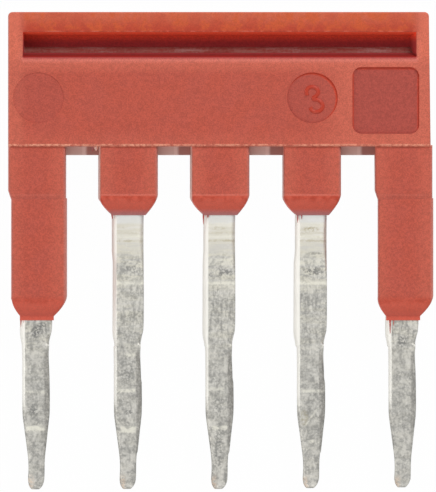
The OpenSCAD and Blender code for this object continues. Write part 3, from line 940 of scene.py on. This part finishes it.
class Shader:
    """The node tree of a material or of the world."""

    def __init__(self, owner):
        self.owner = owner
        owner.use_nodes = True
        self.tree = owner.node_tree
        self.tree.nodes.clear()

    def node(self, kind, settings=None, sockets=None, out=0):
        """A node with its settings, then the values or links of its sockets."""
        made = self.tree.nodes.new("ShaderNode" + kind)
        for name, value in (settings or {}).items():
            setattr(made, name, value)
        for name, value in (sockets or {}).items():
            target = made.inputs[name]
            if isinstance(value, Socket):
                self.tree.links.new(value.output, target)
            elif target.type == "RGBA":
                target.default_value = (*value, 1.0)
            else:
                target.default_value = value
        return Socket(self, made.outputs[out])

    def place(self):
        """Place on the object in millimetres, and its three parts."""
        spot = self.node("TexCoord", out="Object")
        spot = self.stretch(spot, [1 / MM] * 3)
        parts = self.node("SeparateXYZ", None, {"Vector": spot}).output.node
        return spot, *[Socket(self, parts.outputs[axis]) for axis in "XYZ"]

    def size_of(self, value):
        """A value without its sign."""
        return self.node("Math", {"operation": "ABSOLUTE"}, {0: value})

    def scaled(self, shade, by):
        """A colour made lighter or darker."""
        return self.node("VectorMath", {"operation": "SCALE"}, {0: shade, "Scale": by})

    def stretch(self, spot, by):
        """The same place on a scale of its own along each axis."""
        return self.node("VectorMath", {"operation": "MULTIPLY"}, {0: spot, 1: by})

    def ramp(self, value, start, end, low=0.0, high=1.0):
        """Goes smoothly from one level to another between two places."""
        return self.node(
            "MapRange",
            {"interpolation_type": "SMOOTHSTEP"},
            {"Value": value, "From Min": start, "From Max": end, "To Min": low, "To Max": high},
        )

    def band(self, value, start, end, soft):
        """1 between two places and 0 outside them."""
        rise = self.ramp(value, start - soft, start + soft)
        return rise * self.ramp(value, end - soft, end + soft, 1.0, 0.0)

    def disc(self, spot, middle, radius, soft):
        """1 within a circle on the face and 0 outside it."""
        flat = self.stretch(spot, (1, 1, 0))
        away = self.node("VectorMath", {"operation": "DISTANCE"}, {0: flat, 1: (*middle, 0)}, "Value")
        return self.ramp(away, radius - soft, radius + soft, 1.0, 0.0)

    def noise(self, spot, per_mm, detail=2.0, rough=0.5, warp=0.0):
        """Noise between 0 and 1, with so many cells to the millimetre."""
        return self.node(
            "TexNoise",
            None,
            {"Vector": spot, "Scale": per_mm, "Detail": detail, "Roughness": rough, "Distortion": warp},
            "Fac",
        )

    def blend(self, factor, first, second):
        """One colour turning into another."""
        return self.node(
            "Mix",
            {"data_type": "RGBA", "clamp_factor": True},
            {"Factor": factor, 6: first, 7: second},
            2,
        )

    def blend_value(self, factor, first, second):
        """One number turning into another."""
        return first + factor * (second - first)

    def bump(self, height, depth, strength):
        """A relief of so many millimetres."""
        return self.node("Bump", None, {"Strength": strength, "Distance": depth * MM, "Height": height})

    def principled(self, sockets):
        return self.node("BsdfPrincipled", None, sockets)

    def finish(self, surface):
        """Ends the tree and returns the material or world."""
        kind = "World" if isinstance(self.owner, bpy.types.World) else "Material"
        end = self.tree.nodes.new("ShaderNodeOutput" + kind)
        self.tree.links.new(surface.output, end.inputs["Surface"])
        return self.owner


def red_polyamide(scene):
    """Brick-red polyamide with a fine matt grain, whose tone changes from place to place, with painted light and
    shade on its rims, ends, lip, groove, recesses and noses.
    """
    finish, body, sleeves = scene.jumper_finish, scene.jumper_body, scene.jumper_sleeves
    places = pin_places(scene.jumper_pins)
    first, pitch = places[0] / MM, scene.jumper_pins.pitch / MM
    middle = (places[0] + places[-1]) / 2 / MM
    half = (places[-1] - places[0]) / 2 / MM + body.overhang / MM
    reach = half - body.groove_margin / MM
    top, front = TOP_Y / MM, BODY_HIGH.z / MM
    low = top - body.height / MM
    mouth_high = top - body.groove_top / MM
    mouth_low = mouth_high - body.groove_height / MM
    face_top = mouth_low - body.lead_in / MM
    half_thick = front - PARTING / MM

    s = Shader(bpy.data.materials.new("red polyamide"))
    spot, x, y, z = s.place()
    away = s.size_of(x - middle)
    depth = s.size_of(z - PARTING / MM)
    across = s.node("Math", {"operation": "WRAP"}, {0: x - first, 1: pitch / 2, 2: -pitch / 2})
    speckle = s.noise(spot, 14.0, 2.0, 0.7)
    dots = s.noise(spot, 5.5, 2.0, 0.6)
    blots = s.noise(spot, 2.6, 3.0, 0.6)
    clouds = s.noise(spot, 0.8, 3.0, 0.55)

    on_bar = s.ramp(y, low - 0.03, low + 0.02)
    on_face = on_bar * s.ramp(depth, half_thick - 0.3, half_thick - 0.2)
    shade = s.blend(s.ramp(clouds, 0.35, 0.65), finish.red, finish.red_warm)
    below = s.ramp(y, low + 0.02, low - 0.03)
    shade = s.blend(s.ramp(s.size_of(across), 0.4, 1.4) * below * 0.45, shade, finish.red_pale)
    # Paler towards the right, near the lead-in and near the lower edge. Near the ends of the bar the paler tone is
    # painted light, for light through the plastic near its edges
    shade = s.blend(s.ramp(x, 4.6, 7.4) * on_face * 0.8, shade, finish.red_pale)
    shade = s.blend(s.ramp(away, reach - 0.3, reach + 0.3) * on_face * 0.7, shade, finish.red_pale)
    shade = s.blend(s.ramp(y, face_top - 0.7, face_top - 0.1) * on_face * 0.7, shade, finish.red_pale)
    shade = s.blend(s.ramp(y, low + 1.1, low + 0.2) * on_face * 0.3, shade, finish.red_pale)

    # Painted light beside the groove's ends
    beside = s.ramp(y, mouth_low - 0.4, mouth_low + 0.2) * s.ramp(away, reach, reach + 0.3)
    shade = s.blend(beside * 0.65, shade, finish.painted_end_glow)
    between_ends = s.ramp(away, reach + 0.3, reach - 0.35)
    # Painted light: the lip runs from pale at its top to a deep, saturated red at the groove, for light through
    # the thin lip; the orange and darker patches are tone
    lip_shade = s.blend(s.ramp(y, mouth_high, top - 0.05), finish.lip, finish.lip_pale)
    patches = s.ramp(clouds * 0.5 + blots * 0.5, 0.44, 0.62)
    lip_shade = s.blend(patches * 0.75, lip_shade, finish.lip_orange)
    lip_shade = s.blend(s.ramp(clouds, 0.54, 0.34) * 0.4, lip_shade, finish.lip)
    shade = s.blend(s.ramp(y, mouth_high - 0.03, mouth_high + 0.03) * between_ends, shade, lip_shade)
    # Painted highlights: a thin line on the edge above the groove, and a lighter strip on the rounded lead-in
    # below it
    edge_line = s.band(y, mouth_high + 0.01, mouth_high + 0.06, 0.02) * between_ends
    shade = s.blend(edge_line * s.ramp(blots, 0.45, 0.6) * 0.6, shade, finish.painted_rim_highlight)
    strip = s.ramp(y, face_top - 0.1, mouth_low - 0.12) * s.ramp(y, mouth_low + 0.03, mouth_low - 0.05)
    shade = s.blend(strip * s.ramp(away, reach + 0.15, reach) * 0.9, shade, finish.painted_rim_highlight)

    # Painted shade of the groove, carried softly over its lower edge
    soft_edge = s.ramp(y, mouth_low - 0.2, mouth_low) * s.ramp(y, mouth_low + 0.3, mouth_low + 0.1)
    shade = s.blend(soft_edge * s.ramp(away, reach + 0.08, reach - 0.05) * 0.95, shade, finish.groove)

    # Painted light and shade inside the groove: bright on the upper wall and towards the right end, dark on the
    # lower wall, lighter again at its rounded edge
    inside = s.ramp(depth, half_thick - 0.08, half_thick - 0.2) * s.ramp(away, reach + 0.04, reach)
    inside = inside * s.band(y, mouth_low - 0.02, mouth_high + 0.02, 0.02)
    groove_light_mask = s.ramp(y, mouth_high - 0.65, mouth_high + 0.05) + s.ramp(x, middle + reach - 0.35, middle + reach) * 0.1
    groove_shade = s.blend(groove_light_mask, finish.groove, finish.painted_groove_light)
    groove_shade = s.blend(s.ramp(y, mouth_low + 0.3, mouth_low), groove_shade, finish.painted_groove_low_shade)
    painted_groove_edge_shade = s.ramp(y, mouth_low + 0.16, mouth_low + 0.02)
    shade = s.blend(inside, shade, s.blend(painted_groove_edge_shade, groove_shade, finish.painted_groove_edge_shade))

    sunk = s.band(y, low + 0.2, face_top - 0.03, 0.02) * s.ramp(away, half - 0.1, half - 0.13)
    floor = s.ramp(z, front - 0.005, front - 0.035) * 0.45 + s.ramp(z, front - 0.05, front - 0.12) * 0.55
    floor = sunk * floor
    shade = s.blend(floor, shade, finish.recess)
    # Painted shadow on the rims of the recesses: a crescent on the upper right of the numbered disc, and the top
    # and right rims of the square
    wall = sunk * s.ramp(z, front - 0.005, front - 0.03)
    disc_x, disc_y = middle + half - body.number_inset / MM, top - body.disc_drop / MM
    radius = body.disc / 2 / MM
    crescent = s.disc(spot, (disc_x, disc_y), radius + 0.1, 0.01)
    crescent = crescent * (1 - s.disc(spot, (disc_x - 0.08, disc_y - 0.08), radius - 0.03, 0.04))
    shade = s.blend(crescent * wall * 0.75, shade, finish.painted_recess_rim_shadow)
    side = body.square / 2 / MM
    square_x, square_y = middle + half - body.square_inset / MM, top - body.square_drop / MM
    corner = s.band(x, square_x - side + 0.06, square_x + side - 0.09, 0.04)
    corner = corner * s.band(y, square_y - side - 0.1, square_y + side - 0.13, 0.05)
    near_square = s.band(x, square_x - side - 0.1, square_x + side + 0.1, 0.01)
    shade = s.blend((1 - corner) * near_square * wall * 0.6, shade, finish.painted_recess_rim_shadow)

    outer = s.ramp(away, 8.3, 8.4)
    nose_top = low - (sleeves.short - sleeves.nose) / MM
    drop = (sleeves.long - sleeves.short) / MM
    on_nose = y - nose_top + outer * drop
    nose = s.blend_value(outer, s.ramp(on_nose, 0.06, -0.06), s.ramp(on_nose, 0.1, -0.4))
    nose_low = s.ramp(on_nose, -0.2, -0.55)
    nose_shade = s.blend(s.ramp(blots, 0.3, 0.7) * (1 - nose_low * 0.8), finish.nose, finish.lip)
    # Painted shade, darker and greyer, towards the bottom of the short sleeves' noses
    nose_end = s.ramp(on_nose, -0.7, -1.1) * (1 - outer * 0.9)
    nose_shade = s.blend(nose_end * 0.8, nose_shade, finish.nose_end)
    shade = s.blend(nose * 0.95, shade, nose_shade)
    # Painted highlight along the bend at the top of each nose
    line = s.band(y, nose_top - 0.06, nose_top + 0.05, 0.03) * s.ramp(blots, 0.3, 0.5, 0.5, 0.9)
    shade = s.blend(line * below * (0.65 - outer * 0.4), shade, finish.painted_rim_highlight)

    rim = s.ramp(across, 1.46, 1.66) * below + s.ramp(away, half - 0.16, half) * on_bar
    shade = s.blend(rim * 0.5, shade, finish.rim_pale)
    # Painted sheen on the left walls of the sleeves, strongest on the second and third
    left_wall = s.ramp(across, -1.5, -1.6) * below * s.ramp(on_nose, -0.5, -0.1)
    leaning = s.band(x, first + pitch / 2, first + pitch * 2.5, 0.1)
    leaning = leaning + s.band(x, first + pitch * 2.5, first + pitch * 3.5, 0.1) * 0.4
    shade = s.blend(left_wall * (leaning * 0.8 + 0.2), shade, finish.pale_flash_and_wall_sheen)
    # Painted highlight along the rounded lower edge of the bar, broken by noise and weaker to the right
    edge_highlight_and_pale_flash = s.band(y, low - 0.02, low + 0.13, 0.03) * s.ramp(depth, half_thick - 0.5, half_thick - 0.3)
    edge_highlight_and_pale_flash = edge_highlight_and_pale_flash * s.ramp(dots * 0.5 + blots * 0.5, 0.4, 0.6, 0.15, 1.0)
    shade = s.blend(edge_highlight_and_pale_flash * s.ramp(x, -4.0, 0.0, 0.8, 0.65), shade, finish.edge_highlight_and_pale_flash)

    grain = s.ramp(speckle * 0.6 + dots * 0.25 + blots * 0.15, 0.38, 0.62, 0.84, 1.16)
    calm = nose * 0.5 + s.ramp(y, mouth_high - 0.03, mouth_high + 0.03) * 0.35
    grain = s.blend_value(calm, grain, 1.0)
    shade = s.scaled(shade, grain)
    surface = s.principled({
        "Base Color": shade,
        "Roughness": s.ramp(speckle, 0.2, 0.8, 0.46, 0.58) + inside * 0.4,
        "Normal": s.bump(speckle + dots, 0.012, 0.5),
        "Specular IOR Level": 0.3,
    })
    return s.finish(surface)


def raised_polyamide(name, light, dark, top=None):
    """The same plastic where it stands up or squeezed out, with painted shade on the flanks below its top."""
    s = Shader(bpy.data.materials.new(name))
    spot, x, y, z = s.place()
    grain = s.noise(spot, 8.0, 2.0)
    shade = s.blend(s.ramp(grain, 0.3, 0.7), light, dark)
    # Painted shade on the flanks below the top
    if top is not None:
        shade = s.blend(s.ramp(z, top - 0.03, top - 0.09) * 0.75, shade, dark)
    surface = s.principled({
        "Base Color": shade,
        "Roughness": s.ramp(grain, 0.2, 0.8, 0.34, 0.46),
        "Normal": s.bump(grain, 0.01, 0.3),
        "Specular IOR Level": 0.3,
    })
    return s.finish(surface)


def tin_plating(finish, pins):
    """Matt tin: smooth under the sleeves, blotched and streaked below, dull where it was coined, with painted
    highlights on the left bevels and the ridge, painted shade on the coined right bevels and beside the sleeves,
    and painted red reflections between the sleeves and in the groove.
    """
    s = Shader(bpy.data.materials.new("tin plating"))
    spot, x, y, z = s.place()
    first, pitch = pin_places(pins)[0] / MM, pins.pitch / MM
    across = s.node("Math", {"operation": "WRAP"}, {0: x - first, 1: pitch / 2, 2: -pitch / 2})
    clouds = s.noise(spot, 1.5, 4.0, 0.6, 0.4)
    blots = s.noise(spot, 3.3, 3.0, 0.6, 0.3)
    streaks = s.noise(s.stretch(spot, (1.0, 0.2, 1.0)), 6.5, 3.0, 0.6)
    bands = s.noise(s.stretch(spot, (0.12, 1.0, 1.0)), 5.5, 3.0, 0.6)
    speckle = s.noise(spot, 7.5, 3.0, 0.65)

    worked = s.ramp(y, 0.55, 0.35)
    blotched = s.band(y, -1.75, -0.25, 0.4)
    streaked = s.ramp(y, -1.7, -2.1) * s.ramp(y, -6.2, -5.2)
    low = s.ramp(y, -1.7, -2.3)

    shade = s.blend(s.ramp(bands, 0.35, 0.65), finish.tin, finish.tin_warm)
    shade = s.blend(s.band(y, 1.5, 2.4, 0.1) * 0.6, shade, finish.tin_cool)
    shade = s.blend(worked * s.ramp(bands, 0.6, 0.4) * 0.2, shade, finish.tin_dark)
    shade = s.blend(low * 0.3 + s.ramp(y, -5.0, -6.0) * 0.4, shade, finish.tin_worn)
    patch = s.ramp(clouds * 0.25 + blots * 0.4 + speckle * 0.35, 0.57, 0.4)
    shade = s.blend(patch * blotched * 0.6, shade, finish.tin_dark)
    stripe = s.ramp(streaks * 0.6 + speckle * 0.4, 0.56, 0.42)
    shade = s.blend(stripe * streaked * 0.32, shade, finish.tin_dark)
    mottle = s.ramp(clouds * 0.2 + blots * 0.4 + speckle * 0.4, 0.58, 0.4)
    shade = s.blend(mottle * low * s.ramp(y, -5.5, -7.5, 0.48, 0.62), shade, finish.tin_dark)
    shade = s.blend(s.ramp(clouds, 0.5, 0.64) * low * 0.35, shade, finish.tin)
    shade = s.blend(s.ramp(streaks, 0.47, 0.32) * low * 0.3, shade, finish.tin_dark)
    light = s.ramp(speckle * 0.6 + streaks * 0.4, 0.54, 0.68)
    shade = s.blend(light * worked * 0.5, shade, finish.tin)

    # Lighter lines across the pins; the one on the ridge at 0.78 mm is a painted highlight
    breaks = s.ramp(blots, 0.4, 0.55, 0.35, 1.0)
    wavy = y + (speckle - 0.5) * 0.2
    for level, wide, start, end, strength in TRANSVERSE_LINES:
        line = s.band(wavy, level - wide, level + wide, 0.05) * s.band(x, start, end, 0.08)
        shade = s.blend(line * breaks * strength, shade, finish.tin_lines_and_ridge_highlight)
    smudged = s.band(wavy, 0.5, 0.6, 0.05) + s.band(wavy, 0.95, 1.02, 0.04) * 0.6
    shade = s.blend(smudged * breaks * 0.7, shade, finish.tin_bronze)

    # Painted highlight on the left bevels of the pins; the plating is made less metallic there to carry it
    left_bevel_highlight = s.ramp(across, -0.6, -0.68) * s.ramp(y, -9.0, -8.0)
    shade = s.blend(left_bevel_highlight * 0.95, shade, finish.painted_left_bevel_highlight)
    # The coined right bevels are darkened with painted shade, a little less on the outer pins
    right_edge = s.ramp(across, 0.76, 0.84) * s.ramp(y, -5.0, -4.0)
    limit = s.ramp(y, -5.5, -6.4, 0.5, 0.9)
    inner = s.ramp(s.size_of(x - first - 2 * pitch), 9.0, 8.0, 0.7, 1.0)
    coined = s.ramp(across, 0.4, 0.48) * s.ramp(across - limit, 0.05, -0.05)
    coined = coined * s.band(y, -11.2, -5.6, 0.15)
    shade = s.blend(coined * s.ramp(streaks * 0.5 + speckle * 0.5, 0.36, 0.62, 0.85, 0.25) * inner, shade, finish.coined_and_shaded_bevel)
    for place_x, place_y, wide, high, strength, tint in HANDLING_MARKS:
        away = s.stretch(spot - (place_x, place_y, 0.0), (1 / wide, 1 / high, 0.0))
        mark = s.ramp(s.node("VectorMath", {"operation": "LENGTH"}, {0: away}, "Value"), 1.2, 0.5)
        shade = s.blend(mark * s.ramp(speckle, 0.58, 0.42) * strength, shade, getattr(finish, tint))

    # Painted reflection of the red plastic in the plating between the sleeves; the plating is made less metallic
    # there
    gap = s.band(y, 5.2, 6.2, 0.05)
    shade = s.blend(gap * 0.8, shade, finish.gap)
    # Painted shade and red reflection of each sleeve on the plating just to its left
    painted_shade_and_reflection = gap * s.ramp(across, -2.42, -2.22)
    shade = s.blend(painted_shade_and_reflection * s.ramp(across, -1.0, -1.1) * 0.85, shade, finish.painted_shade_beside_sleeves)
    # Painted dark red reflection on the plating inside the groove; the plating is made less metallic and rougher
    # there to carry it
    in_groove = s.ramp(y, 10.6, 10.7)
    groove_reflection_mottle = s.ramp(bands * 0.6 + speckle * 0.4, 0.35, 0.65, 1.0, 0.87)
    shade = s.blend(in_groove * groove_reflection_mottle, shade, finish.painted_groove_reflection)
    turn, run = SCRATCH_TURN, SCRATCH_RUN
    scratch = s.band(x * turn[0] - y * turn[1], run - 0.05, run + 0.05, 0.03)
    scratch = scratch * s.band(y, -9.88, -8.76, 0.06) * s.band(x, 4.5, 5.5, 0.02)
    shade = s.blend(scratch * breaks * 0.55, shade, finish.tin_lines_and_ridge_highlight)
    worn = s.ramp(y, -12.3, -12.9) * s.ramp(across, -0.05, -0.3) * s.ramp(speckle, 0.35, 0.6)
    shade = s.blend(worn * 0.38, shade, finish.copper)

    pattern = blots * 0.5 + speckle * 0.5
    surface = s.principled({
        "Base Color": shade,
        "Metallic": 1 - in_groove * 0.85 - gap * 0.5 - left_bevel_highlight * 0.7 - right_edge * 0.6,
        "Roughness": s.ramp(pattern, 0.3, 0.7, 0.62, 0.5) + in_groove * 0.3,
        "Normal": s.bump(pattern, 0.015, 0.5),
    })
    return s.finish(surface)


# Stage


def floor_material():
    """White floor that keeps the part's shadow but shows as white behind and in the metal."""
    s = Shader(bpy.data.materials.new("stage floor"))
    matt = s.node("BsdfDiffuse", None, {"Color": (0.8, 0.8, 0.8)})
    white = s.node("Emission", None, {"Color": (1.0, 1.0, 1.0), "Strength": 1.0})
    return s.finish(s.node("MixShader", None, {"Fac": looked_at(s) * 0.985, 1: matt, 2: white}))


def looked_at(s):
    """1 where the camera sees a surface, directly or in metal or glass."""
    path = s.node("LightPath").output.node
    rays = [Socket(s, path.outputs[f"Is {kind} Ray"]) for kind in ("Camera", "Glossy", "Transmission")]
    return rays[0] + rays[1] + rays[2]


def even_light(strength):
    """Even light from all round, with a white background behind it."""
    s = Shader(bpy.data.worlds.new("even light"))
    light = s.node("Background", None, {"Color": (1.0, 1.0, 1.0), "Strength": strength})
    white = s.node("Background", None, {"Color": (1.0, 1.0, 1.0), "Strength": 1.0})
    return s.finish(s.node("MixShader", None, {"Fac": looked_at(s), 1: light, 2: white}))


def lamp(name, side, rise, wide, level):
    """A square soft light that lights level ground so strongly, from a side and a height in degrees."""
    rise, away = math.radians(rise), 0.3
    side = math.radians(side)
    place = Vector((math.cos(side) * math.cos(rise), math.sin(side) * math.cos(rise), math.sin(rise)))
    turn = (-place).to_track_quat("-Z", "Y").to_euler()
    bpy.ops.object.light_add(type="AREA", location=place * away, rotation=turn)
    light = bpy.context.active_object
    light.name = name
    light.data.shape = "SQUARE"
    light.data.size = wide
    light.data.energy = level * (math.pi * away) ** 2 / math.sin(rise)


class JUMPER_OT_stage(bpy.types.Operator):
    """Set up the floor, the lights and the camera"""

    bl_idname = "jumper.stage"
    bl_label = "Stage"

    def execute(self, context):
        scene = context.scene
        finish = scene.jumper_finish
        bpy.ops.object.select_all(action="DESELECT")
        bpy.ops.mesh.primitive_plane_add(size=2.0, location=(0, 0, -0.01 * MM))
        floor = context.active_object
        floor.name = "stage_floor"
        floor.data.materials.append(floor_material())

        lamp("key", 58, 38, 0.1, finish.key)
        lamp("fill", -100, 35, 0.2, finish.fill)
        lamp("left", 180, 25, 0.25, finish.left)
        scene.world = even_light(finish.sky)

        view_height = 27.41 * MM
        distance = 0.5
        bpy.ops.object.camera_add(
            location=(-0.15 * MM, 0.264 * MM, PARTING + distance), rotation=(0, 0, 0)
        )
        camera = context.active_object
        camera.data.sensor_width = 36
        camera.data.lens = 36 * distance / view_height
        camera.data.clip_start = 0.01
        scene.camera = camera
        scene.view_settings.view_transform = "Standard"
        return {"FINISHED"}


class JUMPER_PT_panel(bpy.types.Panel):
    """The jumper bar's operators in the sidebar"""

    bl_label = "Jumper Bar"
    bl_idname = "JUMPER_PT_panel"
    bl_space_type = "VIEW_3D"
    bl_region_type = "UI"
    bl_category = "Jumper Bar"

    def draw(self, context):
        for operator in OPERATORS:
            self.layout.operator(operator.bl_idname)


GROUPS = {
    "jumper_pins": JUMPER_PG_pins,
    "jumper_body": JUMPER_PG_body,
    "jumper_sleeves": JUMPER_PG_sleeves,
    "jumper_finish": JUMPER_PG_finish,
}
OPERATORS = (
    JUMPER_OT_contact_comb,
    JUMPER_OT_insulating_body,
    JUMPER_OT_moulding_flash,
    JUMPER_OT_cavity_number,
    JUMPER_OT_stage,
)


def register():
    for cls in (*GROUPS.values(), *OPERATORS, JUMPER_PT_panel):
        bpy.utils.register_class(cls)
    for name, group in GROUPS.items():
        setattr(bpy.types.Scene, name, PointerProperty(type=group))


def unregister():
    for name in GROUPS:
        delattr(bpy.types.Scene, name)
    for cls in reversed((*GROUPS.values(), *OPERATORS, JUMPER_PT_panel)):
        bpy.utils.unregister_class(cls)


def main():
    """Builds the part and the stage."""
    register()
    bpy.ops.jumper.contact_comb()
    bpy.ops.jumper.insulating_body()
    bpy.ops.jumper.moulding_flash()
    bpy.ops.jumper.cavity_number()
    bpy.ops.jumper.stage()


if __name__ == "__main__":
    main()
